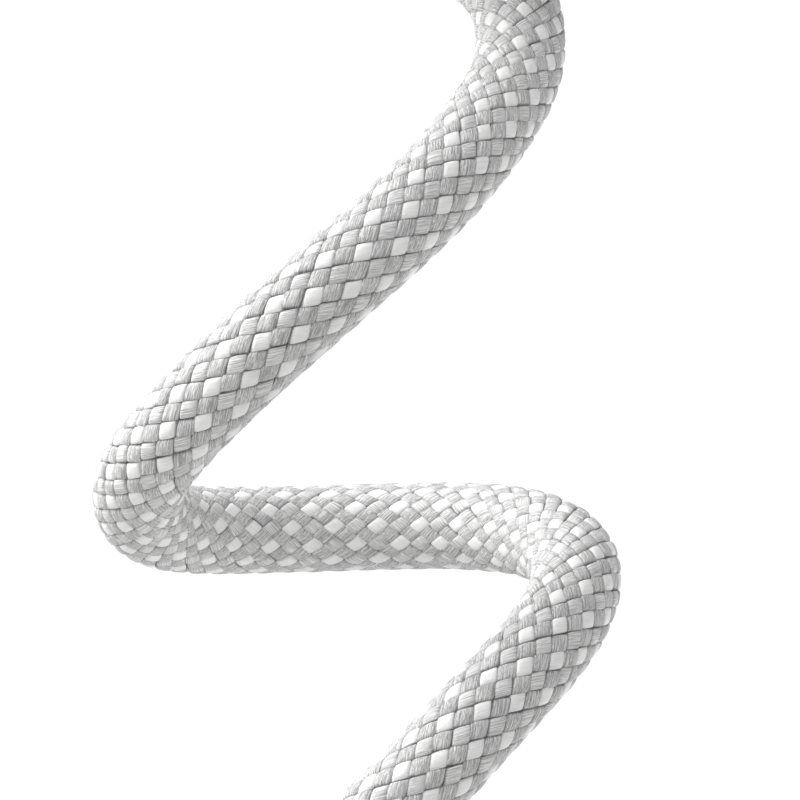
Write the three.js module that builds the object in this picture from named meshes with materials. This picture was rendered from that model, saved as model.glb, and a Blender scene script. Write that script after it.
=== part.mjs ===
// A coiled dock line: one length of 12 mm double-braid rope with an eye spliced in
// one end. It hangs from the eye. Most of it is wound into a round coil, wrapped
// near the eye with three and a half turns of the same rope, and the free end
// hangs below in two springy turns. Millimetres, +Z up. The origin is the inside
// of the eye's crown, where a hook or peg carries the line.
import * as THREE from 'three';

// Rope: a braided cover over a braided core.
const ROPE_R = 6.0;
const COVER_INNER_R = 4.6;
const CORE_R = 4.2;
const GAP = 0.3;
const SIDES = 10;

// Coil: seven turns packed as one round bundle, upright, seen as a ring from the front.
const COIL_R = 69.6;
const BUNDLE_R = 18.5;
const COIL_CENTRE = new THREE.Vector3(0, 12, -253);

// Frapping turns: rope wound round the bundle near its top.
const WRAP_ANGLE = THREE.MathUtils.degToRad(105);
const WRAP_INNER_R = 22.5;
const WRAP_OUTER_R = 31.0;
const WRAP_HALF_LENGTH = 24;
const WRAP_CENTRE_R = 25.0;
const WRAP_TURNS = 3.5;
const WRAP_PITCH = 12.6;

// Splice at the eye's throat, measured down the line from the crown.
const SPLICE_TOP = 129.5;
const SPLICE_END = 159;
const WHIPPING_TOP = 133;
const WHIPPING_END = 144;
const WHIPPING_WALL = 1.7;

// Whipped end of the tail.
const END_WHIPPING_FROM = 21;
const END_WHIPPING_TO = 8;
const TIP_LENGTH = 3;

// Centreline of the eye: across and down the line.
const EYE_ROUTE = [
  [-8, 127], [-13, 113], [-21, 92], [-26, 69], [-27.5, 45], [-27, 21], [-23.4, 7.5],
  [-13.5, -2.4], [0, -6], [13.5, -2.4], [23.4, 7.5], [27, 21], [27.5, 45], [26, 69],
  [21, 92], [13, 113], [8, 127],
];

// Centreline of the tail, from where it leaves the coil to the whipped end.
const TAIL_ROUTE = [
  [-82, 1.1, -210.5], [-89, 0.5, -220], [-95.8, 2, -239], [-97, 6, -260], [-92, 12, -281],
  [-81, 19, -300.5], [-66, 27, -316.5], [-47.5, 34, -329], [-27, 38.5, -337.5],
  [-7, 38.5, -343.5], [7.5, 31.5, -349], [14.5, 21.5, -355], [16, 8.5, -365],
  [11.5, -3.5, -373.5], [4, -14, -382], [-6, -20.5, -391], [-18, -22, -401.5],
  [-28.5, -17, -412], [-34.5, -5.5, -421], [-33, 8.5, -427.5], [-23.5, 20.5, -430],
  [-9, 27, -430.5], [6.5, 25.5, -430], [18.5, 15.5, -430], [23.5, 1, -433],
  [20, -13, -439.5], [11, -23, -448], [0.5, -28, -458.5], [-11, -27.5, -469.5],
  [-21.5, -22, -480],
];

function ropeMaterial(color, roughness) {
  return new THREE.MeshStandardMaterial({ color, roughness, metalness: 0 });
}

// A regular polygon outline, as the section of a tube.
function ringOutline(target, radius) {
  for (let i = 0; i < SIDES; i += 1) {
    const angle = (2 * Math.PI * i) / SIDES;
    const x = radius * Math.cos(angle);
    const y = radius * Math.sin(angle);
    if (i === 0) target.moveTo(x, y);
    else target.lineTo(x, y);
  }
  target.closePath();
  return target;
}

// A round tube along a curve, solid when innerRadius is 0. The hole is measured
// across the flats, so whatever is drawn inside it stays clear of its sides.
function tubeAlong(curve, steps, outerRadius, innerRadius) {
  const section = ringOutline(new THREE.Shape(), outerRadius);
  if (innerRadius > 0) {
    const corner = innerRadius / Math.cos(Math.PI / SIDES);
    section.holes.push(ringOutline(new THREE.Path(), corner));
  }
  return new THREE.ExtrudeGeometry(section, { steps, extrudePath: curve, bevelEnabled: false });
}

function curveThrough(points) {
  return new THREE.CatmullRomCurve3(points, false, 'centripetal');
}

// The short stretch of a curve between two distances from its far end.
function stretchFromEnd(curve, far, near) {
  const length = curve.getLength();
  const points = [];
  for (let i = 0; i <= 4; i += 1) {
    const fromEnd = far + ((near - far) * i) / 4;
    points.push(curve.getPointAt(1 - fromEnd / length));
  }
  return curveThrough(points);
}

function addPiece(parent, name, geometry, material) {
  const mesh = new THREE.Mesh(geometry, material);
  mesh.name = name;
  parent.add(mesh);
  return mesh;
}

const group = new THREE.Group();
const coverMaterial = ropeMaterial(0xf1f0ec, 0.55);
const coreMaterial = ropeMaterial(0xe9e7e0, 0.7);
const twineMaterial = ropeMaterial(0xeeece4, 0.5);
const tipMaterial = ropeMaterial(0xd8d4c8, 0.35);

// Coil: the outer shape of the seven turns.
const bundleProfile = [];
for (let i = 0; i <= 16; i += 1) {
  const angle = (2 * Math.PI * i) / 16;
  const r = COIL_R + BUNDLE_R * Math.cos(angle);
  bundleProfile.push(new THREE.Vector2(r, BUNDLE_R * Math.sin(angle)));
}
const coilGeometry = new THREE.LatheGeometry(bundleProfile, 60);
const coil = addPiece(group, 'coil', coilGeometry, coverMaterial);
coil.position.copy(COIL_CENTRE);

// Frapping turns: the outer shape of the wraps, a sleeve square across the bundle.
const wrapAxis = new THREE.Vector3(-Math.sin(WRAP_ANGLE), 0, Math.cos(WRAP_ANGLE));
const wrapOut = new THREE.Vector3(Math.cos(WRAP_ANGLE), 0, Math.sin(WRAP_ANGLE));
const wrapCentre = COIL_CENTRE.clone().addScaledVector(wrapOut, COIL_R - 2);
const sleeveProfile = [
  new THREE.Vector2(WRAP_INNER_R, -WRAP_HALF_LENGTH),
  new THREE.Vector2(WRAP_OUTER_R - 3, -WRAP_HALF_LENGTH),
  new THREE.Vector2(WRAP_OUTER_R, -WRAP_HALF_LENGTH + 3),
  new THREE.Vector2(WRAP_OUTER_R, WRAP_HALF_LENGTH - 3),
  new THREE.Vector2(WRAP_OUTER_R - 3, WRAP_HALF_LENGTH),
  new THREE.Vector2(WRAP_INNER_R, WRAP_HALF_LENGTH),
  new THREE.Vector2(WRAP_INNER_R, -WRAP_HALF_LENGTH),
];
const sleeveGeometry = new THREE.LatheGeometry(sleeveProfile, 36);
const frapping = addPiece(group, 'frapping_turns', sleeveGeometry, coverMaterial);
frapping.position.copy(wrapCentre);
frapping.quaternion.setFromUnitVectors(new THREE.Vector3(0, 1, 0), wrapAxis);

// The line from the crown of the eye to the first frapping turn, at the front of
// the sleeve. The eye hangs along it: local Y points back up the line.
const firstWrap = wrapCentre.clone();
firstWrap.addScaledVector(wrapAxis, (-WRAP_TURNS * WRAP_PITCH) / 2);
firstWrap.y -= WRAP_CENTRE_R;
const upTheLine = firstWrap.clone().negate().normalize();
const across = new THREE.Vector3(1, 0, 0);
across.addScaledVector(upTheLine, -across.dot(upTheLine)).normalize();
const throughTheEye = new THREE.Vector3().crossVectors(across, upTheLine);
const eyeFrame = new THREE.Group();
eyeFrame.setRotationFromMatrix(new THREE.Matrix4().makeBasis(across, upTheLine, throughTheEye));
group.add(eyeFrame);

// Eye: the cover and the core run round it and meet at the throat.
const eyePoints = EYE_ROUTE.map(([side, down]) => new THREE.Vector3(side, -down, 0));
const eyeCurve = curveThrough(eyePoints);
const eyeCover = tubeAlong(eyeCurve, 28, ROPE_R, COVER_INNER_R);
addPiece(eyeFrame, 'eye_cover', eyeCover, coverMaterial);
const eyeCore = tubeAlong(eyeCurve, 28, CORE_R, 0);
addPiece(eyeFrame, 'eye_core', eyeCore, coreMaterial);

// Splice: both legs side by side at the throat, closing to one round rope.
// Each row is the distance down the line, the half width and the half thickness.
const SPLICE_ROWS = [
  [SPLICE_TOP, 14.2, 6.6],
  [131.5, 13.5, 6.8],
  [136, 12.2, 6.9],
  [141, 10.6, 7.0],
  [146, 9.0, 7.0],
  [150, 7.6, 6.7],
  [154, 6.4, 6.2],
  [SPLICE_END, 6.2, 6.0],
];

function spliceAt(down, column) {
  for (let i = 1; i < SPLICE_ROWS.length; i += 1) {
    const upper = SPLICE_ROWS[i - 1];
    const lower = SPLICE_ROWS[i];
    if (down <= lower[0]) {
      const t = (down - upper[0]) / (lower[0] - upper[0]);
      return upper[column] + t * (lower[column] - upper[column]);
    }
  }
  return SPLICE_ROWS[SPLICE_ROWS.length - 1][column];
}

// A turned piece is widened to the splice's oval, row by row.
function widenToOval(geometry) {
  const position = geometry.attributes.position;
  for (let i = 0; i < position.count; i += 1) {
    const down = -position.getY(i);
    const ratio = spliceAt(down, 1) / spliceAt(down, 2);
    position.setX(i, position.getX(i) * ratio);
  }
  return geometry;
}

const spliceProfile = [new THREE.Vector2(0, -SPLICE_END)];
for (let i = SPLICE_ROWS.length - 1; i >= 0; i -= 1) {
  spliceProfile.push(new THREE.Vector2(SPLICE_ROWS[i][2], -SPLICE_ROWS[i][0]));
}
spliceProfile.push(new THREE.Vector2(0, -SPLICE_TOP));
const spliceGeometry = widenToOval(new THREE.LatheGeometry(spliceProfile, 24));
addPiece(eyeFrame, 'splice_body', spliceGeometry, coverMaterial);

// Throat whipping: a band of twine drawn tight round the splice.
const bandRows = [WHIPPING_END, 141, 136, WHIPPING_TOP];
const bandProfile = [];
for (const down of bandRows) {
  bandProfile.push(new THREE.Vector2(spliceAt(down, 2) + GAP + WHIPPING_WALL, -down));
}
for (const down of [...bandRows].reverse()) {
  bandProfile.push(new THREE.Vector2(spliceAt(down, 2) + GAP, -down));
}
bandProfile.push(bandProfile[0].clone());
const bandGeometry = widenToOval(new THREE.LatheGeometry(bandProfile, 24));
addPiece(eyeFrame, 'throat_whipping', bandGeometry, twineMaterial);

// Tail: cover and core from the coil down to the end.
const tailPoints = TAIL_ROUTE.map(([x, y, z]) => new THREE.Vector3(x, y, z));
const tailCurve = curveThrough(tailPoints);
const tailCover = tubeAlong(tailCurve, 44, ROPE_R, COVER_INNER_R);
addPiece(group, 'tail_cover', tailCover, coverMaterial);
const tailCore = tubeAlong(tailCurve, 44, CORE_R, 0);
addPiece(group, 'tail_core', tailCore, coreMaterial);

// End whipping: a sleeve of twine turns just above the end.
const whippedStretch = stretchFromEnd(tailCurve, END_WHIPPING_FROM, END_WHIPPING_TO);
const endBand = tubeAlong(whippedStretch, 4, ROPE_R + 1.6, ROPE_R + GAP + 0.1);
addPiece(group, 'end_whipping', endBand, twineMaterial);

// Sealed tip: the melted face of the end, a shallow button.
const tipProfile = [
  new THREE.Vector2(0, 0),
  new THREE.Vector2(ROPE_R - 0.2, 0),
  new THREE.Vector2(ROPE_R, TIP_LENGTH * 0.35),
  new THREE.Vector2(ROPE_R - 0.8, TIP_LENGTH * 0.8),
  new THREE.Vector2(ROPE_R - 2.6, TIP_LENGTH),
  new THREE.Vector2(0, TIP_LENGTH),
];
const sealedTip = addPiece(group, 'sealed_tip', new THREE.LatheGeometry(tipProfile, 20), tipMaterial);
const endDirection = tailCurve.getTangentAt(1);
sealedTip.position.copy(tailCurve.getPointAt(1)).addScaledVector(endDirection, GAP);
sealedTip.quaternion.setFromUnitVectors(new THREE.Vector3(0, 1, 0), endDirection);

export default group;
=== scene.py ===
# %% [markdown]
# # A coiled dock line
#
# A dock line is the rope that ties a boat to a quay. This one is white
# double braid, 12 mm thick and 4.55 m long. It hangs from the eye that is
# spliced in one end. Most of it is wound into a coil, and the free end hangs
# below in springy turns, which is what the camera looks at. A rope could be a
# plain tube with its weave painted on. Here each yarn of the cover is its own
# swept body, because the weave gives a rope its bumps and its small shadows.

import math

import bpy
import numpy as np
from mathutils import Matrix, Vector


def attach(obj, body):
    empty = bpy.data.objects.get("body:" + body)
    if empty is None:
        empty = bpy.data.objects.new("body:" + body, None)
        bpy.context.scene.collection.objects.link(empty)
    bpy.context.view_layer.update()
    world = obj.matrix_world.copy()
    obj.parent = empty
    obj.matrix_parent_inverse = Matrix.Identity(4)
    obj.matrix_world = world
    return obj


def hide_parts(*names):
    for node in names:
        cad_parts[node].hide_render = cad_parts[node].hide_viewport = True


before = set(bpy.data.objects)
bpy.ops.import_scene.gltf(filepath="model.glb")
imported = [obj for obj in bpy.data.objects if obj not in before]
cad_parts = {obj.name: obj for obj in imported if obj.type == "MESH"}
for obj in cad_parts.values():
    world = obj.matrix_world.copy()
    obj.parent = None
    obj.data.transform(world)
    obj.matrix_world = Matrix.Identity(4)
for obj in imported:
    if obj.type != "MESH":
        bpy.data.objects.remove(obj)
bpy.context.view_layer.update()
MM = 0.001

# %% [markdown]
# ## The camera
#
# The camera looks at the free end, tipped down by five degrees, as a person
# would look at a rope held up in front of them. A wide lens close by would
# swell the near side of each loop. A long lens from half a metre away keeps
# the near and far sides nearly the same size, so it was chosen.

# %% Camera
VIEW_CENTRE = Vector((0.0, 0.0, -0.410))
VIEW_DISTANCE = 0.500
VIEW_TILT = math.radians(5.0)
SENSOR_WIDTH = 36.0
LENS_LENGTH = 168.75

camera_data = bpy.data.cameras.new("camera")
camera_data.sensor_width = SENSOR_WIDTH
camera_data.lens = LENS_LENGTH
camera_data.clip_start = 0.01
camera_data.clip_end = 20.0
camera = bpy.data.objects.new("camera", camera_data)
bpy.context.scene.collection.objects.link(camera)
away = Vector((0.0, -math.cos(VIEW_TILT), math.sin(VIEW_TILT)))
camera.location = VIEW_CENTRE + away * VIEW_DISTANCE
camera.rotation_euler = (-away).to_track_quat("-Z", "Y").to_euler()
bpy.context.scene.camera = camera
view_width = SENSOR_WIDTH / LENS_LENGTH * VIEW_DISTANCE / MM
print("camera at", [round(v, 4) for v in camera.location], "sees", round(view_width, 1), "mm")

# %% [markdown]
# ## The route of the rope
#
# A rope is one long flexible rod, so its shape is settled by its centreline
# and nothing else. The line starts inside the splice, goes round the eye and
# comes back to the throat. Then it wraps three and a half times round the
# coil, winds the coil itself, and leaves as the tail. The regular parts are
# worked out from these few sizes, in millimetres.

# %% Route: driving sizes
ROPE_R = 6.0
COIL_R = 69.6  # centre circle of the coil
COIL_Y = 12.0
COIL_Z = -253.0
COIL_TURNS = 7
SLOT_R = 12.5  # from the middle turn to the six round it
WRAP_ANGLE = math.radians(105.0)  # where on the coil the frapping turns sit
WRAP_R = 25.0
WRAP_TURNS = 3.5
WRAP_PITCH = 12.6
print("coil", COIL_TURNS, "turns of", 2 * COIL_R, "mm, wrapped over", WRAP_TURNS * WRAP_PITCH, "mm")

# %% [markdown]
# ## The eye and the tail
#
# Nobody winds these two parts on anything, so no formula gives them. Both are
# listed point by point, as a person would lay a cord along a drawing.
# The eye is flat: its points say how far across it and how far down it. The
# tail turns in space, so each of its points is a place.

# %% Route: listed points
EYE = [
    (-2.5, 146), (-5.2, 134), (-8, 125), (-13, 113), (-21, 92), (-26, 69), (-27.5, 45),
    (-27, 21), (-23.4, 7.5), (-13.5, -2.4), (0, -6), (13.5, -2.4), (23.4, 7.5), (27, 21),
    (27.5, 45), (26, 69), (21, 92), (13, 113), (7, 128), (2.2, 143), (0.3, 156),
]
TAIL = [
    (-61, 6, -191.5), (-74, 2.5, -201.5), (-89, 0.5, -220), (-95.8, 2, -239),
    (-97, 6, -260), (-92, 12, -281), (-81, 19, -300.5), (-66, 27, -316.5),
    (-47.5, 34, -329), (-27, 38.5, -337.5), (-7, 38.5, -343.5), (7.5, 31.5, -349),
    (14.5, 21.5, -355), (16, 8.5, -365), (11.5, -3.5, -373.5), (4, -14, -382),
    (-6, -20.5, -391), (-18, -22, -401.5), (-28.5, -17, -412), (-34.5, -5.5, -421),
    (-33, 8.5, -427.5), (-23.5, 20.5, -430), (-9, 27, -430.5), (6.5, 25.5, -430),
    (18.5, 15.5, -430), (23.5, 1, -433), (20, -13, -439.5), (11, -23, -448),
    (0.5, -28, -458.5), (-11, -27.5, -469.5), (-21.5, -22, -480),
]
print("placed by hand:", len(EYE), "points of the eye and", len(TAIL), "of the tail")

# %% [markdown]
# ## Places beside the coil
#
# A coil is a ring, and the ropes in it lie beside the ring's centre circle. Two
# helpers turn angles into places. One goes round the ring and round its
# section. The other goes round the tied bundle, for the frapping turns.

# %% Route: helpers
def smooth(t):
    """Ease from 0 to 1 with no jerk at either end."""
    t = min(max(t, 0.0), 1.0)
    return t * t * t * (t * (6.0 * t - 15.0) + 10.0)


def ring_point(theta, radius, beta):
    """A point beside the coil's centre circle: theta round it, beta round its section."""
    r = COIL_R + radius * math.cos(beta)
    y = COIL_Y + radius * math.sin(beta)
    return np.array([r * math.cos(theta), y, COIL_Z + r * math.sin(theta)])


wrap_centre = ring_point(WRAP_ANGLE, -2.0, 0.0)
wrap_axis = np.array([-math.sin(WRAP_ANGLE), 0.0, math.cos(WRAP_ANGLE)])
wrap_out = np.array([math.cos(WRAP_ANGLE), 0.0, math.sin(WRAP_ANGLE)])


def wrap_point(along, beta):
    """A point on the frapping turns: along the bundle, beta round it."""
    side = math.cos(beta) * wrap_out + math.sin(beta) * np.array([0.0, 1.0, 0.0])
    return wrap_centre + along * wrap_axis + WRAP_R * side


print("frapping turns round", np.round(wrap_centre, 1))

# %% [markdown]
# ## The eye's plane and the frapping turns
#
# The line hangs from its eye, so the eye points straight at the place where
# the rope meets the bundle. The frapping turns are a helix round the bundle.
# A dozen points a turn are enough, because a smooth curve will join them.

# %% Route: eye and frapping turns
WRAP_POINTS = 12

first_wrap = wrap_point(-WRAP_TURNS * WRAP_PITCH / 2, -math.pi / 2)
down = first_wrap / np.linalg.norm(first_wrap)
across = np.array([1.0, 0.0, 0.0]) - down * down[0]
across /= np.linalg.norm(across)
eye_route = [a * across + d * down for a, d in EYE]

wrap_route = []
wrap_steps = int(WRAP_TURNS * WRAP_POINTS)
for k in range(wrap_steps + 1):
    f = k / wrap_steps
    along = (f - 0.5) * WRAP_TURNS * WRAP_PITCH
    wrap_route.append(wrap_point(along, -math.pi / 2 - 2 * math.pi * WRAP_TURNS * f))
print("the eye hangs along", np.round(down, 3), "and the wraps have", len(wrap_route), "points")

# %% [markdown]
# ## The coil by a loop
#
# The coil's turns follow from how it is wound, so a loop works them out. Seven
# ropes pack as one in the middle with six round it. A short lead brings the
# rope in from the last frapping turn. Then each turn slides into the next of
# the six places as it goes round, and one turn dives to the middle.

# %% Route: lead and coil
LEAD = math.radians(36.0)
LEAD_POINTS = 6
TURN_POINTS = 24
DIVE_AT, RISE_AT, DIVE_SPAN = 0.89, 1.89, 0.11  # in turns of the coil

start = WRAP_ANGLE + WRAP_TURNS * WRAP_PITCH / 2 / COIL_R
lead_turn = LEAD / (2 * math.pi)
from_wrap = wrap_point(WRAP_TURNS * WRAP_PITCH / 2, math.pi / 2)
shift = from_wrap - ring_point(start, WRAP_R, math.pi / 2)

lead_route = []
for k in range(1, LEAD_POINTS):
    v = k / LEAD_POINTS * math.pi / 2
    f = smooth(1 - math.cos(v))
    beta = math.pi / 2 + (lead_turn * math.pi / 3 - math.pi / 2) * math.sin(v)
    radius = WRAP_R + (SLOT_R - WRAP_R) * f
    theta = start + LEAD * (1 - math.cos(v))
    lead_route.append(ring_point(theta, radius, beta) + shift * (1 - f))

coil_route = []
for k in range(math.ceil(lead_turn * TURN_POINTS), COIL_TURNS * TURN_POINTS + 1):
    turn = k / TURN_POINTS
    if turn <= 1.5:
        dive = smooth((turn - DIVE_AT) / DIVE_SPAN)
    else:
        dive = 1 - smooth((turn - RISE_AT) / DIVE_SPAN)
    beta = math.pi / 3 * (turn if turn < 1.3 else turn - 1)
    coil_route.append(ring_point(start + 2 * math.pi * turn, SLOT_R * (1 - dive), beta))

tail_route = [np.array(p, float) for p in TAIL]
control = np.array(eye_route + wrap_route + lead_route + coil_route + tail_route)
print("route has", len(control), "control points")

# %% [markdown]
# ## A curve through the points
#
# A stiff rod laid through fixed points bends as evenly as it can. The natural
# cubic spline is the curve that does this, so it is used here instead of a
# chain of arcs. Its samples are then respaced at equal distances, because the
# weave has to be counted along the rope.

# %% Route: curve helpers
def run_lengths(points):
    """Distance from the first point to each one, along the straight pieces."""
    pieces = np.linalg.norm(np.diff(points, axis=0), axis=1)
    return np.concatenate([[0], np.cumsum(pieces)])


def natural_spline(points, step):
    """A natural cubic spline through the points, sampled about every step."""
    chord = run_lengths(points)
    n = len(points)
    h = np.diff(chord)
    matrix = np.zeros((n, n))
    right = np.zeros((n, 3))
    matrix[0, 0] = matrix[-1, -1] = 1.0
    for i in range(1, n - 1):
        matrix[i, i - 1 : i + 2] = h[i - 1], 2 * (h[i - 1] + h[i]), h[i]
        slope_after = (points[i + 1] - points[i]) / h[i]
        slope_before = (points[i] - points[i - 1]) / h[i - 1]
        right[i] = 6 * (slope_after - slope_before)
    second = np.linalg.solve(matrix, right)
    at = np.linspace(0, chord[-1], int(chord[-1] / step) + 1)
    i = np.clip(np.searchsorted(chord, at, side="right") - 1, 0, n - 2)
    a = (chord[i + 1] - at)[:, None]
    b = (at - chord[i])[:, None]
    hi = h[i][:, None]
    curve = (second[i] * a**3 + second[i + 1] * b**3) / (6 * hi)
    curve += (points[i] / hi - second[i] * hi / 6) * a
    curve += (points[i + 1] / hi - second[i + 1] * hi / 6) * b
    return curve


def even_steps(points, step):
    """The same line resampled at equal distances, and those distances."""
    length = run_lengths(points)
    at = np.linspace(0, length[-1], int(round(length[-1] / step)) + 1)
    return np.stack([np.interp(at, length, points[:, k]) for k in range(3)], axis=1), at


line, arc = even_steps(natural_spline(control, 1.0), 1.0)
print("curve before easing is", round(float(arc[-1]), 1), "mm long")

# %% [markdown]
# ## Easing the line
#
# Stiff rope cannot kink, so the line is eased a little by a running average.
# Easing everything would shrink the eye and the free tail, whose curves are
# soft already, so the easing fades in after the eye and out before the tail.

# %% Route: eased centreline
EASE_WINDOW = 27
EASE_FROM = 170
EASE_FADE = 60

tail_start = arc[int(np.argmin(np.linalg.norm(line - np.array(TAIL[1]), axis=1)))]
kernel = np.hanning(EASE_WINDOW)[1:-1]
kernel /= kernel.sum()
pad = len(kernel) // 2
padded = np.pad(line, ((pad, pad), (0, 0)), mode="edge")
eased = np.stack([np.convolve(padded[:, k], kernel, mode="valid") for k in range(3)], axis=1)
fade_in = np.clip((arc - EASE_FROM) / EASE_FADE, 0, 1)
fade_out = np.clip((tail_start - arc) / EASE_FADE, 0, 1)
line = line + (eased - line) * (fade_in * fade_out)[:, None]
line, arc = even_steps(line, 1.0)
ROPE_LENGTH = float(arc[-1])
tangent = np.gradient(line, axis=0)
tangent /= np.linalg.norm(tangent, axis=1)[:, None]
bend = np.linalg.norm(np.gradient(tangent, arc, axis=0), axis=1)
print("rope length mm", round(ROPE_LENGTH, 1), "tightest bend radius mm", round(1 / bend.max(), 1))
print("lowest point mm", round(float(line[:, 2].min()), 1))

# %% [markdown]
# ## Frames along the line
#
# Each braided yarn is placed round the centreline, so every point of the line
# needs two side directions. Fixed ones would flip where the line turns back.
# They are carried from one step to the next without twisting instead, the way
# a rope that is not being turned behaves.

# %% Frames
normal = np.zeros_like(line)
first = np.cross(tangent[0], [0.0, 1.0, 0.0])
normal[0] = first / np.linalg.norm(first)
for i in range(1, len(line)):
    n = normal[i - 1] - tangent[i] * np.dot(normal[i - 1], tangent[i])
    normal[i] = n / np.linalg.norm(n)


def at_arc(values, s):
    """A quantity along the line, read at the arc lengths s."""
    return np.stack([np.interp(s, arc, values[:, k]) for k in range(values.shape[1])], axis=1)


leaning = np.abs(np.sum(normal * tangent, axis=1)).max()
print("frames", len(line), "furthest from square", round(float(leaning), 9))

# %% [markdown]
# ## Tubes from arrays
#
# Everything on a rope is some kind of tube: rings of points, joined ring to
# ring and closed by a face at each end. Adding faces one by one is slow for
# hundreds of thousands of them, so whole arrays are handed over at once. The
# layers are values kept on the points, which the materials read later.

# %% Mesh helpers
def grid_quads(rows, columns, offset=0):
    """Faces of a tube of rows rings, each of columns points, closed round."""
    r = np.arange(rows - 1)[:, None]
    c = np.arange(columns)[None, :]
    n = (c + 1) % columns
    a = r * columns + c
    b = r * columns + n
    d = (r + 1) * columns + c
    e = (r + 1) * columns + n
    return np.stack([a, b, e, d], axis=-1).reshape(-1, 4) + offset


def end_caps(rows, columns, offset=0):
    """The two many-sided faces that close such a tube."""
    last = offset + (rows - 1) * columns
    first_cap = list(range(offset + columns - 1, offset - 1, -1))
    return [first_cap, list(range(last, last + columns))]


def add_layer(mesh, name, values, loops):
    """Keep a pair of values as a map of coordinates, or one value at each point."""
    values = np.asarray(values, np.float32)
    if values.ndim == 2:
        uv = mesh.uv_layers.new(name=name)
        uv.data.foreach_set("uv", values[loops].ravel())
    else:
        attribute = mesh.attributes.new(name, "FLOAT", "POINT")
        attribute.data.foreach_set("value", values)


def build_mesh(name, vertices, quads, caps, layers):
    """A mesh object from arrays of millimetre points and four-sided faces."""
    mesh = bpy.data.meshes.new(name)
    loops = np.asarray(quads, np.int64).ravel()
    sizes = np.full(len(quads), 4, np.int64)
    for cap in caps:
        loops = np.concatenate([loops, np.asarray(cap, np.int64)])
        sizes = np.concatenate([sizes, [len(cap)]])
    mesh.vertices.add(len(vertices))
    mesh.vertices.foreach_set("co", (np.asarray(vertices) * MM).astype(np.float32).ravel())
    mesh.loops.add(len(loops))
    mesh.loops.foreach_set("vertex_index", loops.astype(np.int32))
    mesh.polygons.add(len(sizes))
    starts = np.concatenate([[0], np.cumsum(sizes)[:-1]])
    mesh.polygons.foreach_set("loop_start", starts.astype(np.int32))
    mesh.update(calc_edges=True)
    mesh.polygons.foreach_set("use_smooth", np.ones(len(sizes), bool))
    for layer, values in layers.items():
        add_layer(mesh, layer, values, loops)
    obj = bpy.data.objects.new(name, mesh)
    bpy.context.scene.collection.objects.link(obj)
    return obj


print("a tube of 3 rings of 8 points has", len(grid_quads(3, 8)) + len(end_caps(3, 8)), "faces")

# %% [markdown]
# ## The braided cover
#
# The cover is a tube of flat yarns. Half of them climb to the right and half
# to the left, and each goes over one and under the next. The sizes here are of
# one yarn and of the braid: a lay is the length in which a yarn goes once
# round the rope. The outline is the yarn cut across: a flat top with soft
# shoulders near the camera, and fewer corners where the rope is seen small.

# %% Cover: sizes of the braid
YARNS = 14  # each way
LAY = 53.0
CROSSING = LAY / (2 * YARNS)
YARN_HALF_WIDTH = 1.17
YARN_HALF_HEIGHT = 0.50
WAVE = 0.29  # how far a yarn rises and sinks at a crossing
SWAY = 0.05  # the slower part of that wave
TOP_ALLOWANCE = 0.03
COVER_MID_R = ROPE_R - YARN_HALF_HEIGHT - WAVE + TOP_ALLOWANCE
WEAVE_R = 5.7  # where the angle between the two families is taken
CROSSING_ANGLE = 2 * math.atan(2 * math.pi * WEAVE_R / LAY)
PLUMP = np.array([
    (-1.0, -0.1), (-0.985, 0.35), (-0.88, 0.72), (-0.5, 0.96), (0.0, 1.06), (0.5, 0.96),
    (0.88, 0.72), (0.985, 0.35), (1.0, -0.1), (0.5, -0.7), (-0.5, -0.7),
])
PLAIN = np.array([(-0.98, 0.1), (-0.45, 0.95), (0.45, 0.95), (0.98, 0.1), (0.0, -0.7)])
crossing_degrees = round(math.degrees(CROSSING_ANGLE), 1)
print("crossing every", round(CROSSING, 2), "mm at", crossing_degrees, "degrees")

# %% [markdown]
# ## Where the yarns are sampled
#
# Places along a yarn are counted in crossings, so that 3 is the third crossing
# and 3.5 is halfway to the next. One ring per crossing is enough to show the
# over and under from far away. The free end is looked at closely, so it gets
# eight, gathered in the middle of each gap where the yarn changes sides.

# %% Cover: crossing numbers
FINE_LENGTH = 330.0
IN_CELL = np.array([0.0, 0.2, 0.33, 0.42, 0.5, 0.58, 0.67, 0.8])

crossings = np.arange(0, ROPE_LENGTH / CROSSING + 0.001)
coarse = crossings[crossings * CROSSING < ROPE_LENGTH - FINE_LENGTH]
fine = (np.arange(coarse[-1], crossings[-1] + 1)[:, None] + IN_CELL[None, :]).ravel()[1:]
fine = fine[fine < ROPE_LENGTH / CROSSING]
print(len(crossings), "crossings,", len(coarse), "plain rings and", len(fine), "close ones")

# %% [markdown]
# ## Swelling and taper
#
# Where the end of the rope is buried in the splice, the rope is thicker, and
# the buried end itself is cut to a taper so that the swelling has no step. Both
# are factors on the rope's thickness, so the weave stretches with them.

# %% Cover: thickness along the rope
THROAT_DROP = 143  # from the eye's crown down to the throat
THROAT_FROM, THROAT_TO = 250, 380  # the steps of the line that hold the throat
SWELLING, SWELL_SPAN, SWELL_FROM = 0.16, 34.0, 200
TAPER_START, TAPER_SPAN = 0.42, 26.0

throat_gap = np.linalg.norm(line[THROAT_FROM:THROAT_TO] - down * THROAT_DROP, axis=1)
SPLICE_ARC = float(arc[int(np.argmin(throat_gap)) + THROAT_FROM])


def splice_swell(s):
    """How much thicker the rope is where the end is buried in the splice."""
    t = (s - SPLICE_ARC) / SWELL_SPAN
    return 1.0 + SWELLING * np.exp(-(t ** 2)) * (s > SWELL_FROM)


def buried_start(s):
    """The cut end tapers away inside the splice."""
    return np.clip(TAPER_START + s / TAPER_SPAN, TAPER_START, 1.0)


print("throat at", SPLICE_ARC, "mm, swollen by", round(float(splice_swell(SPLICE_ARC)), 2))

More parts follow.
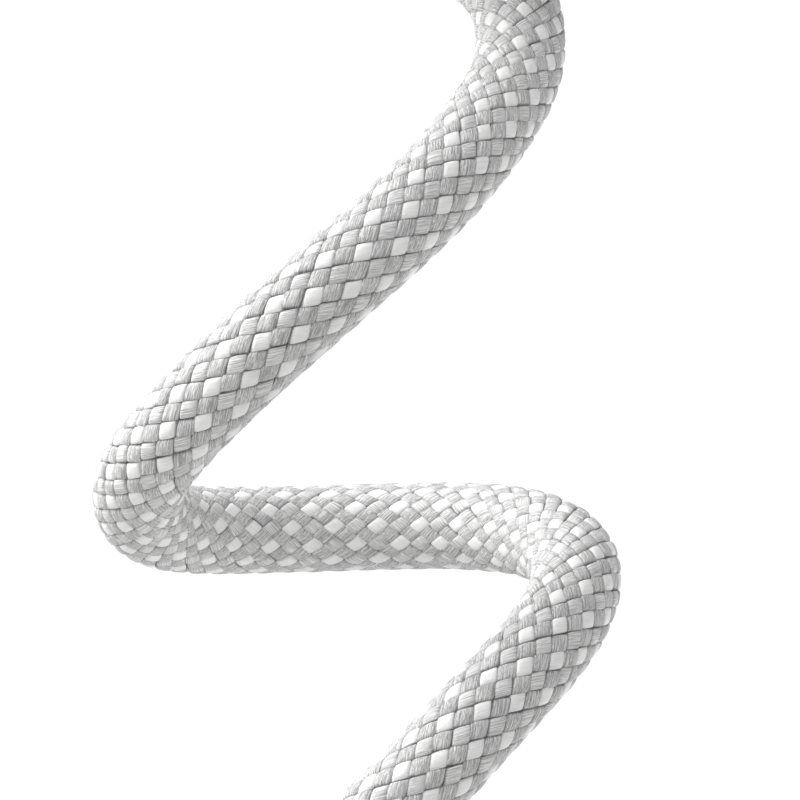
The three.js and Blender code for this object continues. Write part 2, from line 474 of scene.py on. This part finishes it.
# %% [markdown]
# ## How a yarn moves
#
# A yarn lies flat over one crossing, drops quickly, and lies flat under the
# next. A plain wave would leave round humps with gaps between them, so the
# drop is squeezed into the middle third of each gap. No two yarns are quite
# alike, so each gets a slow drift and a changing plumpness of its own. These
# come from a seed, so the rope is the same each time.

# %% Cover: the path of a yarn
DROP_FROM, DROP_SPAN = 0.35, 0.30  # in crossings
FIRST_SEED = 1000
DRIFT, DRIFT_SPAN, OFFSET = 0.02, 37.0, 0.008


def places_along(index):
    """Arc length, centre, three directions and thickness at each crossing number."""
    s = np.minimum(index * CROSSING, ROPE_LENGTH)
    t = at_arc(tangent, s)
    t /= np.linalg.norm(t, axis=1)[:, None]
    n = at_arc(normal, s)
    n -= t * np.sum(n * t, axis=1)[:, None]
    n /= np.linalg.norm(n, axis=1)[:, None]
    return s, at_arc(line, s), t, n, np.cross(t, n), splice_swell(s) * buried_start(s)


def over_under(index):
    """1 or -1 on each crossing in turn, with a quick smooth drop between."""
    cell = np.floor(index)
    drop = np.clip((index - cell - DROP_FROM) / DROP_SPAN, 0, 1)
    return np.cos(math.pi * cell) * (1.0 - 2.0 * drop * drop * (3.0 - 2.0 * drop))


def unevenness(index, s, number):
    """One yarn's own drift round the rope and its changing plumpness."""
    dice = np.random.default_rng(FIRST_SEED + number)
    drift = DRIFT * np.sin(s / DRIFT_SPAN + dice.uniform(0, 6.28)) + dice.normal(0, OFFSET)
    puff = np.interp(index, crossings, dice.normal(0, 1, len(crossings)))
    return drift, puff


print("over and under at 0, 0.5 and 1:", np.round(over_under(np.array([0.0, 0.5, 1.0])), 2))

# %% [markdown]
# ## The body of a yarn
#
# The outline is carried along the path. Square rings would make each visible
# block a rectangle, but a block of a braid is a diamond whose ends run along
# the yarn that crosses it. So each ring is slanted by the crossing angle. The
# yarn is also a little wider and thicker on top, where nothing squeezes it.

# %% Cover: one yarn
PUFF_LIFT = 0.025
WIDTH, WIDTH_BY_FAMILY, WIDTH_ON_TOP, WIDTH_BY_PUFF = 0.94, 0.035, 0.07, 0.02
HEIGHT, HEIGHT_ON_TOP = 0.94, 0.08


def yarn_body(place, index, outline, number):
    """The points of one yarn, ring by ring, and how high in the weave each one lies."""
    s, centre, t, n, b, scale = place
    family = 1 if number < YARNS else -1
    drift, puff = unevenness(index, s, number)
    phi = family * 2 * math.pi * s / LAY + 2 * math.pi * (number % YARNS) / YARNS + drift
    c = np.cos(math.pi * index)
    step = over_under(index)
    lift = family * (WAVE * step + SWAY * c) + PUFF_LIFT * puff
    over = 0.5 + 0.5 * family * c
    radius = (COVER_MID_R + lift) * scale
    out = np.cos(phi)[:, None] * n + np.sin(phi)[:, None] * b
    side = -np.sin(phi)[:, None] * n + np.cos(phi)[:, None] * b
    run = t + side * (family * 2 * math.pi / LAY * radius)[:, None]
    run /= np.linalg.norm(run, axis=1)[:, None]
    across_yarn = np.cross(out, run)
    across_yarn /= np.linalg.norm(across_yarn, axis=1)[:, None]
    up = np.cross(run, across_yarn)
    slant = across_yarn + run * (family / math.tan(CROSSING_ANGLE))
    wide = WIDTH - WIDTH_BY_FAMILY * family + WIDTH_ON_TOP * over + WIDTH_BY_PUFF * puff
    width = YARN_HALF_WIDTH * wide * scale
    height = YARN_HALF_HEIGHT * (HEIGHT + HEIGHT_ON_TOP * over) * scale
    x, y = outline[:, 0], outline[:, 1]
    ring = (centre + out * radius[:, None])[:, None, :]
    ring = ring + (slant * width[:, None])[:, None, :] * x[None, :, None]
    ring = ring + (up * height[:, None])[:, None, :] * y[None, :, None]
    # How high each point lies in the weave; the material paints light on the high parts and shade
    # low in the seams from it.
    on_top = 0.5 + 0.5 * family * step
    raised = on_top[:, None] * np.clip(0.5 + 0.5 * y[None, :], 0, 1)
    return ring.reshape(-1, 3), np.clip(raised, 0, 1).reshape(-1)


print("a yarn is", 2 * YARN_HALF_WIDTH, "mm wide and", 2 * YARN_HALF_HEIGHT, "mm thick")

# %% [markdown]
# ## All the yarns
#
# Twenty-eight yarns are swept twice, once with the plain outline for the
# stowed rope and once with the full one for the free end. They become one
# mesh, because they are one cover. Each yarn keeps coordinates of its own, in
# centimetres along and across it, and a value for its smoothness and its
# painted sheen: one family is textured yarn, and in the other every second
# yarn is smooth and gets a painted sheen that makes it bright.

# %% Cover: one mesh of interlaced yarns
CM = 0.1
YARN_SHIFT = 7.3  # keeps the yarns' coordinates apart, so no two look the same
# Smooth yarns get a painted sheen, full or half; the textured ones get none.
TEXTURED, SMOOTH_FULL_SHEEN, SMOOTH_HALF_SHEEN = 0.0, 1.0, 0.45


def yarn_finish_and_sheen(number):
    """How smooth a yarn's filaments are, and how much sheen is painted on it."""
    if number >= YARNS:
        return TEXTURED
    return SMOOTH_FULL_SHEEN if number % 2 else SMOOTH_HALF_SHEEN


def sweep_yarns(index, outline):
    """All yarns over one set of crossing numbers: points, faces, caps and layers."""
    place = places_along(index)
    rows, sides = len(index), len(outline)
    points, quads, caps = [], [], []
    layers = {"yarn": [], "raised": [], "finish": []}
    for number in range(2 * YARNS):
        body, raised = yarn_body(place, index, outline, number)
        offset = number * rows * sides
        points.append(body)
        quads.append(grid_quads(rows, sides, offset))
        caps += end_caps(rows, sides, offset)
        u = np.repeat(place[0][:, None] * CM + YARN_SHIFT * number, sides, axis=1)
        v = np.repeat(outline[None, :, 0] * YARN_HALF_WIDTH * CM, rows, axis=0)
        layers["yarn"].append(np.stack([u, v], axis=-1).reshape(-1, 2))
        layers["raised"].append(raised)
        layers["finish"].append(np.full(rows * sides, yarn_finish_and_sheen(number)))
    joined = {name: np.concatenate(parts) for name, parts in layers.items()}
    return np.concatenate(points), np.concatenate(quads), caps, joined


stowed, stowed_quads, stowed_caps, stowed_layers = sweep_yarns(
    np.concatenate([coarse, [fine[0]]]), PLAIN
)
free, free_quads, free_caps, free_layers = sweep_yarns(
    np.concatenate([fine, [ROPE_LENGTH / CROSSING]]), PLUMP
)
cover = build_mesh(
    "dock_line_cover",
    np.concatenate([stowed, free]),
    np.concatenate([stowed_quads, free_quads + len(stowed)]),
    stowed_caps + [[i + len(stowed) for i in cap] for cap in free_caps],
    {name: np.concatenate([stowed_layers[name], free_layers[name]]) for name in free_layers},
)
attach(cover, "root")
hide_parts("eye_cover", "splice_body", "frapping_turns", "coil", "tail_cover")
print("cover", len(cover.data.polygons), "faces")

# %% [markdown]
# ## The core
#
# Double braid is one rope inside another. The inner one is a plain braid that
# carries half the load. It could be woven like the cover, but it is hidden all
# the way here, so its weave is only a low chequered relief on one tube.

# %% Core
CORE_R = 4.15
CORE_RELIEF = 0.14
CORE_STEP = 3.0
CORE_SIDES = 16
CORE_YARNS = 8

core_s = np.arange(2.0, ROPE_LENGTH - 1.0, CORE_STEP)
core_centre = at_arc(line, core_s)
core_n = at_arc(normal, core_s)
core_b = np.cross(at_arc(tangent, core_s), core_n)
angle = 2 * math.pi * np.arange(CORE_SIDES) / CORE_SIDES
chequer = np.cos(math.pi * np.arange(len(core_s)))[:, None]
relief = CORE_RELIEF * chequer * np.cos(CORE_YARNS * angle)[None, :]
core_taper = (buried_start(core_s) * 0.98)[:, None]
core_radius = (CORE_R - CORE_RELIEF + relief) * core_taper
core_ring = core_centre[:, None, :] + core_radius[:, :, None] * (
    np.cos(angle)[None, :, None] * core_n[:, None, :]
    + np.sin(angle)[None, :, None] * core_b[:, None, :]
)
core_along = np.repeat(core_s[:, None] * CM, CORE_SIDES, axis=1)
core_round = np.repeat(angle[None, :] * 0.4, len(core_s), axis=0)
core = build_mesh(
    "dock_line_core",
    core_ring.reshape(-1, 3),
    grid_quads(len(core_s), CORE_SIDES),
    end_caps(len(core_s), CORE_SIDES),
    {
        "yarn": np.stack([core_along, core_round], axis=-1).reshape(-1, 2),
        "raised": np.full(len(core_s) * CORE_SIDES, 0.6),
        "finish": np.full(len(core_s) * CORE_SIDES, 0.3),
    },
)
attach(core, "root")
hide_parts("eye_core", "tail_core")
print("core", len(core.data.polygons), "faces")

# %% [markdown]
# ## Whipping twine
#
# Waxed twine is wound tight round a rope to stop it opening. A ribbed sleeve
# would look right from far off, but a whipping is one twine, so one tube is
# led along a helix. Its section has three low lobes that turn as they go,
# which is how three twisted strands look. Its ends close to a blunt point.

# %% Whippings: the twine
TWINE_R = 0.55
TWINE_SIDES = 7
LOBES, LOBE_HEIGHT, LOBE_TWIST = 3, 0.07, 2.2
TWINE_POINT = 0.5  # length over which an end closes


def twine(name, path, node):
    """A twisted twine of lobed section along a list of points."""
    path = np.asarray(path, float)
    t = np.gradient(path, axis=0)
    t /= np.linalg.norm(t, axis=1)[:, None]
    side = np.zeros_like(path)
    guess = np.cross(t[0], [0.3, 0.5, 0.8])
    side[0] = guess / np.linalg.norm(guess)
    for i in range(1, len(path)):
        n = side[i - 1] - t[i] * np.dot(side[i - 1], t[i])
        side[i] = n / np.linalg.norm(n)
    other = np.cross(t, side)
    a = 2 * math.pi * np.arange(TWINE_SIDES) / TWINE_SIDES
    length = run_lengths(path)
    lobes = 1.0 + LOBE_HEIGHT * np.cos(LOBES * (a[None, :] - length[:, None] * LOBE_TWIST))
    end = np.minimum(length, length[-1] - length)
    closing = np.sqrt(np.clip(end / TWINE_POINT, 0.05, 1.0))
    ring = path[:, None, :] + (TWINE_R * lobes * closing[:, None])[:, :, None] * (
        np.cos(a)[None, :, None] * side[:, None, :] + np.sin(a)[None, :, None] * other[:, None, :]
    )
    twine_along = np.repeat(length[:, None] * CM, TWINE_SIDES, axis=1)
    twine_round = np.repeat(a[None, :] * 0.06, len(path), axis=0)
    obj = build_mesh(
        name,
        ring.reshape(-1, 3),
        grid_quads(len(path), TWINE_SIDES),
        end_caps(len(path), TWINE_SIDES),
        {
            "yarn": np.stack([twine_along, twine_round], axis=-1).reshape(-1, 2),
            "raised": np.full(len(path) * TWINE_SIDES, 0.8),
            "finish": np.full(len(path) * TWINE_SIDES, 0.6),
        },
    )
    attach(obj, "root")
    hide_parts(node)
    return obj


print("twine", 2 * TWINE_R, "mm thick with", TWINE_SIDES, "sides")

# %% [markdown]
# ## The throat whipping
#
# At the throat the two legs of the eye come together, and the whipping pulls
# them in and locks the splice. It goes round both legs, so its turns are
# ovals, and they narrow downwards as the legs close.

# %% Whippings: throat
THROAT_TURNS, THROAT_STEPS = 9, 28
THROAT_TOP, THROAT_LENGTH = 133.8, 9.8
THROAT_HALF_WIDTH, THROAT_NARROWING, THROAT_HALF_DEPTH = 12.3, 0.27, 7.5
THROAT_ASIDE = 0.4

through_eye = np.cross(across, -down)
throat = []
for k in range(THROAT_TURNS * THROAT_STEPS + 1):
    a = 2 * math.pi * k / THROAT_STEPS
    d = THROAT_TOP + THROAT_LENGTH * k / (THROAT_TURNS * THROAT_STEPS)
    half_width = THROAT_HALF_WIDTH - THROAT_NARROWING * (d - THROAT_TOP)
    x = THROAT_ASIDE + half_width * math.cos(a)
    throat.append(x * across + d * down + THROAT_HALF_DEPTH * math.sin(a) * through_eye)
throat_whipping = twine("whipping_throat", throat, "throat_whipping")
print("throat whipping", THROAT_TURNS, "turns")

# %% [markdown]
# ## The end whipping
#
# Near the cut end a second whipping stops the cover from sliding back over
# the core. Here the rope is single and round, so the turns follow the frames
# of the line at one distance from it.

# %% Whippings: cut end
BAND_FROM = ROPE_LENGTH - 20.5
BAND_TO = ROPE_LENGTH - 8.5
BAND_TURNS, BAND_STEPS = 10, 24
BAND_R = ROPE_R + 0.38

band = []
for k in range(BAND_TURNS * BAND_STEPS + 1):
    f = k / (BAND_TURNS * BAND_STEPS)
    s = np.array([BAND_FROM + (BAND_TO - BAND_FROM) * f])
    a = 2 * math.pi * k / BAND_STEPS
    centre = at_arc(line, s)[0]
    n = at_arc(normal, s)[0]
    b = np.cross(at_arc(tangent, s)[0], n)
    band.append(centre + BAND_R * (math.cos(a) * n + math.sin(a) * b))
end_whipping = twine("whipping_end", band, "end_whipping")
print("end whipping", BAND_TURNS, "turns")

# %% [markdown]
# ## The sealed tip
#
# A synthetic rope is cut with a hot knife, which melts the fibre ends into one
# hard button. A turned shape would be too regular, because the melt sags and
# cools unevenly. So rings of the right profile are pushed about by low waves.

# %% Sealed tip
TIP_PROFILE = [
    (-0.3, 5.2), (0.1, 5.75), (0.7, 5.95), (1.4, 5.85),
    (2.0, 5.5), (2.5, 4.7), (2.85, 3.4), (3.0, 1.7),
]
TIP_SIDES = 40
LUMP, SMALL_LUMP, SAG = 0.018, 0.012, 0.12

end_point = line[-1]
end_t = tangent[-1]
end_n = normal[-1]
end_b = np.cross(end_t, end_n)
tip_angle = 2 * math.pi * np.arange(TIP_SIDES) / TIP_SIDES
tip_vertices = []
for along, radius in TIP_PROFILE:
    lump = 1 + LUMP * np.sin(3 * tip_angle + along)
    lump = lump + SMALL_LUMP * np.sin(7 * tip_angle - 2 * along)
    sag = SAG * np.sin(2 * tip_angle + 0.7) * (along > 1.0)
    ring = end_point + (along + sag)[:, None] * end_t
    ring = ring + (radius * lump * np.cos(tip_angle))[:, None] * end_n
    tip_vertices.append(ring + (radius * lump * np.sin(tip_angle))[:, None] * end_b)
sealed_tip = build_mesh(
    "sealed_end",
    np.concatenate(tip_vertices),
    grid_quads(len(TIP_PROFILE), TIP_SIDES),
    end_caps(len(TIP_PROFILE), TIP_SIDES),
    {},
)
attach(sealed_tip, "root")
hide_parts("sealed_tip")
print("tip", len(sealed_tip.data.polygons), "faces")

# %% [markdown]
# ## Filament yarn as a shared effect
#
# Each yarn is a bundle of hundreds of fine filaments that lie along it. Every
# textile piece needs them, with its own colours and fineness, so they are
# made once as a node group. It takes two colours, a fineness and a crimp, and
# it gives a colour, a roughness and a height for bumps.

# %% Filament group: its sockets
filaments = bpy.data.node_groups.new("filaments", "ShaderNodeTree")
for name, kind, value in (
    ("Light", "NodeSocketColor", (0.9, 0.9, 0.88, 1)),
    ("Shade", "NodeSocketColor", (0.6, 0.6, 0.58, 1)),
    ("Fineness", "NodeSocketFloat", 60.0),
    ("Crimp", "NodeSocketFloat", 0.4),
):
    socket = filaments.interface.new_socket(name=name, in_out="INPUT", socket_type=kind)
    socket.default_value = value
for name, kind in (
    ("Color", "NodeSocketColor"),
    ("Roughness", "NodeSocketFloat"),
    ("Height", "NodeSocketFloat"),
):
    filaments.interface.new_socket(name=name, in_out="OUTPUT", socket_type=kind)
come = filaments.nodes.new("NodeGroupInput")
leave = filaments.nodes.new("NodeGroupOutput")
print("filament group sockets", [s.name for s in filaments.interface.items_tree])

# %% [markdown]
# ## Small helpers for the group
#
# A group of many small sums is easier to read as sums than as boxes and wires.
# Each helper adds one node and gives back its output, so that they can be
# written one inside the other.

# %% Filament group: helpers
def sum_node(operation, a, b):
    """One sum of two things, each of them a number or another node's output."""
    node = filaments.nodes.new("ShaderNodeMath")
    node.operation = operation
    for i, value in enumerate((a, b)):
        if isinstance(value, (int, float)):
            node.inputs[i].default_value = value
        else:
            filaments.links.new(value, node.inputs[i])
    return node.outputs[0]


def plus(a, b):
    return sum_node("ADD", a, b)


def minus(a, b):
    return sum_node("SUBTRACT", a, b)


def times(a, b):
    return sum_node("MULTIPLY", a, b)


def noise(x, y, detail):
    """Noise read at x and y, which can be stretched by different amounts."""
    join = filaments.nodes.new("ShaderNodeCombineXYZ")
    filaments.links.new(x, join.inputs[0])
    filaments.links.new(y, join.inputs[1])
    node = filaments.nodes.new("ShaderNodeTexNoise")
    node.inputs["Scale"].default_value = 1.0
    node.inputs["Detail"].default_value = detail
    filaments.links.new(join.outputs[0], node.inputs["Vector"])
    return node.outputs[0]


def kept_value(name):
    """A value that the mesh keeps at its points."""
    node = filaments.nodes.new("ShaderNodeAttribute")
    node.attribute_name = name
    return node.outputs["Fac"]


print("helpers for sums, noise and kept values")

# %% [markdown]
# ## Lines, crimp and patches
#
# Smooth filaments show as long thin lines: noise that is fine across the yarn
# and slow along it. Textured yarn has crimped filaments, so its noise changes
# faster along the yarn, and only the dull yarns get it. Large soft patches
# keep a long rope from looking printed.

# %% Filament group: the pattern
LINE_RATE, CRIMP_RATE, PATCH_RATE = 4.0, 22.0, 3.0  # changes to a centimetre
CRIMP_COARSER = 0.7

uv = filaments.nodes.new("ShaderNodeUVMap")
uv.uv_map = "yarn"
split = filaments.nodes.new("ShaderNodeSeparateXYZ")
filaments.links.new(uv.outputs["UV"], split.inputs[0])
along, sideways = split.outputs[0], split.outputs[1]
# The yarn's smoothness sets its roughness and crimp, and also how much sheen is painted on it.
gloss = kept_value("finish")
raised = kept_value("raised")
fine_across = times(sideways, come.outputs["Fineness"])
lines = noise(times(along, LINE_RATE), fine_across, 3.0)
crimped = noise(times(along, CRIMP_RATE), times(fine_across, CRIMP_COARSER), 3.0)
patches = noise(times(along, PATCH_RATE), times(sideways, PATCH_RATE), 1.0)
dull = sum_node("POWER", minus(1.0, gloss), 2.0)
painted_sheen = sum_node("POWER", gloss, 2.0)
crimp = times(times(crimped, dull), come.outputs["Crimp"])
filaments.links.new(plus(lines, times(crimp, 2.0)), leave.inputs["Height"])
print("pattern made with", len(filaments.nodes), "nodes")

# %% [markdown]
# ## From pattern to colour
#
# The tone runs from the shade to the light colour. Painted light makes a yarn
# paler where it rises, a painted sheen makes the smooth yarns bright, and the
# filaments streak it. Low in the weave, between two yarns, painted shade
# darkens the colour along a narrow seam. Textured yarn is also a little rougher.

# %% Filament group: colour and roughness
# The second value paints light on the high parts of a yarn, the third paints a sheen on the smooth
# yarns.
TONE, TONE_PAINTED_LIGHT_ON_TOP, TONE_PAINTED_SHEEN = 0.22, 0.18, 0.62
# Yarn with a painted sheen keeps fewer of its streaks.
STREAK, STREAK_LOST = 3.2, 0.55  # bright yarn loses part of its streaks
CRIMP_TONE, PATCH_TONE = 2.4, 0.5
# Painted shade: the colour is darkened where a yarn lies low between two others.
SEAM_LOW, SEAM_HIGH, SEAM_PAINTED_SHADE = 0.5, 0.8, 0.5
SMOOTH_ROUGHNESS, DULL_ROUGHNESS = 0.40, 0.22

# Painted light: a yarn is painted paler where it rises and darker where it sinks.
tone = plus(times(raised, TONE_PAINTED_LIGHT_ON_TOP), TONE)
# Painted sheen: smooth yarns are painted paler, for the light their filaments reflect.
tone = plus(tone, times(painted_sheen, TONE_PAINTED_SHEEN))
streak = times(minus(1.0, times(painted_sheen, STREAK_LOST)), STREAK)
tone = plus(tone, times(minus(lines, 0.5), streak))
tone = plus(tone, times(minus(crimped, 0.5), times(crimp, CRIMP_TONE)))
tone = plus(tone, times(minus(patches, 0.5), PATCH_TONE))
clamp = filaments.nodes.new("ShaderNodeClamp")
filaments.links.new(tone, clamp.inputs[0])
mix = filaments.nodes.new("ShaderNodeMix")
mix.data_type = "RGBA"
filaments.links.new(clamp.outputs[0], mix.inputs[0])
filaments.links.new(come.outputs["Shade"], mix.inputs[6])
filaments.links.new(come.outputs["Light"], mix.inputs[7])
# Painted shade along the seams low in the weave.
seam_painted_shade = filaments.nodes.new("ShaderNodeMapRange")
seam_painted_shade.inputs["From Min"].default_value = SEAM_LOW
seam_painted_shade.inputs["From Max"].default_value = SEAM_HIGH
seam_painted_shade.inputs["To Min"].default_value = SEAM_PAINTED_SHADE
filaments.links.new(raised, seam_painted_shade.inputs[0])
shaded = filaments.nodes.new("ShaderNodeVectorMath")
shaded.operation = "SCALE"
filaments.links.new(mix.outputs[2], shaded.inputs[0])
filaments.links.new(seam_painted_shade.outputs[0], shaded.inputs["Scale"])
filaments.links.new(shaded.outputs[0], leave.inputs["Color"])
filaments.links.new(plus(times(dull, DULL_ROUGHNESS), SMOOTH_ROUGHNESS), leave.inputs["Roughness"])
print("filament group has", len(filaments.nodes), "nodes")

# %% [markdown]
# ## Cover, core and twine
#
# The cover is white nylon that has seen little use. The core is the same
# fibre, unbleached and coarser. The twine is waxed, which yellows it. One
# function makes all three from the filament group. The faint sheen is the
# light that fine loose fibres catch at the edge of a rope.

# %% Materials: textiles
FILAMENT_RELIEF = 0.00012  # metres


def textile(name, light, shade, fineness, crimp, bump):
    """A fibre material: two colours, the filaments' fineness and crimp, and their relief."""
    material = bpy.data.materials.new(name)
    material.use_nodes = True
    nodes, links = material.node_tree.nodes, material.node_tree.links
    shader = nodes["Principled BSDF"]
    use = nodes.new("ShaderNodeGroup")
    use.node_tree = filaments
    use.inputs["Light"].default_value = (*light, 1)
    use.inputs["Shade"].default_value = (*shade, 1)
    use.inputs["Fineness"].default_value = fineness
    use.inputs["Crimp"].default_value = crimp
    lift = nodes.new("ShaderNodeBump")
    lift.inputs["Strength"].default_value = bump
    lift.inputs["Distance"].default_value = FILAMENT_RELIEF
    links.new(use.outputs["Height"], lift.inputs["Height"])
    links.new(lift.outputs["Normal"], shader.inputs["Normal"])
    links.new(use.outputs["Color"], shader.inputs["Base Color"])
    links.new(use.outputs["Roughness"], shader.inputs["Roughness"])
    shader.inputs["Sheen Weight"].default_value = 0.15
    shader.inputs["Specular IOR Level"].default_value = 0.45
    return material


cover_material = textile(
    "nylon_cover", (0.95, 0.95, 0.945), (0.38, 0.38, 0.38), fineness=84.0, crimp=1.3, bump=1.0
)
core_material = textile(
    "nylon_core", (0.80, 0.79, 0.75), (0.6, 0.59, 0.56), fineness=30.0, crimp=0.5, bump=0.6
)
twine_material = textile(
    "waxed_twine", (0.82, 0.81, 0.77), (0.58, 0.57, 0.53), fineness=80.0, crimp=0.2, bump=0.7
)
cover.data.materials.append(cover_material)
core.data.materials.append(core_material)
throat_whipping.data.materials.append(twine_material)
end_whipping.data.materials.append(twine_material)
print("textiles", [m.name for m in (cover_material, core_material, twine_material)])

# %% [markdown]
# ## Melted fibre
#
# The fused end is the same plastic without its filaments, so it is smooth,
# slightly yellow, and darker where the knife scorched it. Noise in the piece's
# own space gives the scorching, because there is no weave here to follow.

# %% Material: sealed tip
SCORCH_SCALE = 260.0

tip_material = bpy.data.materials.new("fused_end")
tip_material.use_nodes = True
tip_nodes, tip_links = tip_material.node_tree.nodes, tip_material.node_tree.links
tip_shader = tip_nodes["Principled BSDF"]
scorch = tip_nodes.new("ShaderNodeTexNoise")
scorch.inputs["Scale"].default_value = SCORCH_SCALE
scorch.inputs["Detail"].default_value = 4.0
tip_place = tip_nodes.new("ShaderNodeTexCoord")
tip_links.new(tip_place.outputs["Object"], scorch.inputs["Vector"])
ramp = tip_nodes.new("ShaderNodeValToRGB")
ramp.color_ramp.elements[0].color = (0.38, 0.33, 0.24, 1)
ramp.color_ramp.elements[1].color = (0.74, 0.71, 0.63, 1)
ramp.color_ramp.elements[0].position = 0.34
ramp.color_ramp.elements[1].position = 0.6
tip_links.new(scorch.outputs[0], ramp.inputs[0])
tip_links.new(ramp.outputs[0], tip_shader.inputs["Base Color"])
tip_shader.inputs["Roughness"].default_value = 0.32
sealed_tip.data.materials.append(tip_material)
print("materials", [m.name for m in bpy.data.materials])

# %% [markdown]
# ## The studio walls
#
# The rope hangs in a white studio. White walls all round would leave a white
# rope no edges. So they are bright at eye level, behind the rope, and dim
# above, and the rope stands out grey against white.

# %% Studio: walls
EYE_LEVEL, EYE_LEVEL_LIGHT = 0.515, 1.05  # height from 0 at the bottom to 1 at the top
UPPER_LEVEL, UPPER_LIGHT = 0.58, 0.22

bpy.context.scene.view_settings.view_transform = "Standard"
world = bpy.data.worlds.new("studio")
world.use_nodes = True
bpy.context.scene.world = world
sky_nodes, sky_links = world.node_tree.nodes, world.node_tree.links
direction = sky_nodes.new("ShaderNodeTexCoord")
parts = sky_nodes.new("ShaderNodeSeparateXYZ")
walls = sky_nodes.new("ShaderNodeValToRGB")
sky_links.new(direction.outputs["Generated"], parts.inputs[0])
climb = sky_nodes.new("ShaderNodeMapRange")
climb.inputs["From Min"].default_value = -1.0
climb.inputs["From Max"].default_value = 1.0
sky_links.new(parts.outputs[2], climb.inputs[0])
sky_links.new(climb.outputs[0], walls.inputs[0])
stops = walls.color_ramp.elements
stops[0].position, stops[0].color = EYE_LEVEL, (*[EYE_LEVEL_LIGHT] * 3, 1)
stops[1].position, stops[1].color = UPPER_LEVEL, (*[UPPER_LIGHT] * 3, 1)
sky_links.new(walls.outputs[0], sky_nodes["Background"].inputs["Color"])
print("walls fall from", EYE_LEVEL_LIGHT, "at eye level to", UPPER_LIGHT, "above")

# %% [markdown]
# ## The floor
#
# A rope on a hook hangs clear of the ground, so the pale floor is well below
# it. A round floor has no corners to show. Far from the rope it glows a
# little, so that it meets the bright walls without a line.

# %% Studio: floor
FLOOR_R, FLOOR_Z, FLOOR_SIDES = 3, -1.25, 48
GLOW_FROM, GLOW_TO, GLOW = 0.8, 2.8, 0.75

floor_mesh = bpy.data.meshes.new("floor")
floor_angles = np.linspace(0, 2 * math.pi, FLOOR_SIDES, endpoint=False)
corners = [(FLOOR_R * math.cos(a), FLOOR_R * math.sin(a), FLOOR_Z) for a in floor_angles]
corners = [tuple(map(float, corner)) for corner in corners]
floor_mesh.from_pydata(corners, [], [list(range(FLOOR_SIDES))])
floor = bpy.data.objects.new("floor", floor_mesh)
bpy.context.scene.collection.objects.link(floor)
floor_material = bpy.data.materials.new("pale_floor")
floor_material.use_nodes = True
floor_nodes, floor_links = floor_material.node_tree.nodes, floor_material.node_tree.links
floor_shader = floor_nodes["Principled BSDF"]
floor_shader.inputs["Base Color"].default_value = (0.86, 0.86, 0.85, 1)
floor_shader.inputs["Roughness"].default_value = 0.8
floor_place = floor_nodes.new("ShaderNodeTexCoord")
floor_flat = floor_nodes.new("ShaderNodeVectorMath")
floor_flat.operation = "MULTIPLY"
floor_flat.inputs[1].default_value = (1, 1, 0)
floor_far = floor_nodes.new("ShaderNodeVectorMath")
floor_far.operation = "LENGTH"
floor_glow = floor_nodes.new("ShaderNodeMapRange")
floor_glow.inputs["From Min"].default_value = GLOW_FROM
floor_glow.inputs["From Max"].default_value = GLOW_TO
floor_glow.inputs["To Max"].default_value = GLOW
floor_links.new(floor_place.outputs["Object"], floor_flat.inputs[0])
floor_links.new(floor_flat.outputs[0], floor_far.inputs[0])
floor_links.new(floor_far.outputs["Value"], floor_glow.inputs[0])
floor_shader.inputs["Emission Color"].default_value = (1, 1, 1, 1)
floor_links.new(floor_glow.outputs[0], floor_shader.inputs["Emission Strength"])
floor.data.materials.append(floor_material)
print("floor", 2 * FLOOR_R, "m across, at height", FLOOR_Z)

# %% [markdown]
# ## The lamps
#
# One lamp would light one side of every yarn and leave hard shadows in the
# weave. Five broad discs stand round the upper left, where the light comes
# from, and one of them is low behind to lift the underside. All of them look
# at the free end, and none is seen by the camera.

# %% Studio: lamps
LAMP_SIZE = 0.75
LAMPS = (
    ("top_back", (-0.22, 0.52, 0.53), 5.4),
    ("top_left", (-0.63, 0.08, 0.35), 8.7),
    ("top_front", (-0.22, -0.52, 0.53), 4.6),
    ("left", (-0.84, 0.10, -0.10), 5.4),
    ("low_back", (0.60, 0.45, -0.78), 2.2),
)

for name, place, power in LAMPS:
    lamp_data = bpy.data.lights.new(name, "AREA")
    lamp_data.shape = "DISK"
    lamp_data.size = LAMP_SIZE
    lamp_data.energy = power
    lamp = bpy.data.objects.new(name, lamp_data)
    lamp.location = place
    lamp.rotation_euler = (VIEW_CENTRE - Vector(place)).to_track_quat("-Z", "Y").to_euler()
    lamp.visible_camera = False
    bpy.context.scene.collection.objects.link(lamp)
